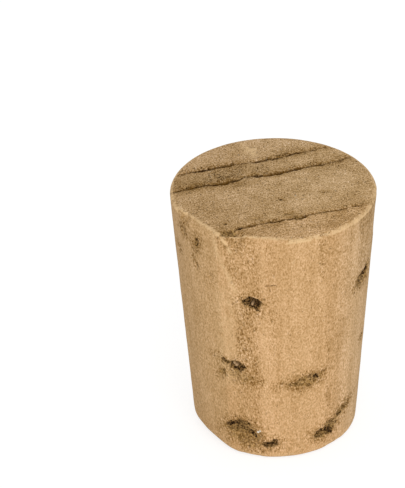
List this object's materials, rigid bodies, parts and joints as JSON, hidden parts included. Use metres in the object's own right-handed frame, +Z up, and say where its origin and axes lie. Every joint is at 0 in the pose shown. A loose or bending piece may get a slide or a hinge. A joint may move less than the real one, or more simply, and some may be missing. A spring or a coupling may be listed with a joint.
{
  "type": "cork stopper",
  "caption": "Tapered natural cork stopper with rounded edges, growth-ring fissures across its top and lenticel pits on its side, pushed into a bottle or tube neck.",
  "frame": {"origin": "centre of the flat base, the narrow end that the stopper stands on", "axes": "+Z up along the axis of the taper, from the narrow base to the wide top; -Y is the front, the side that faces the camera in the picture"},
  "size_m": [0.0174, 0.0174, 0.0229],
  "materials": {
    "cork": "sanded natural cork, matte, with dark fissures and lenticels"
  },
  "bodies": {
    "root": {"cork_body": "cork"}
  },
  "joints": []
}
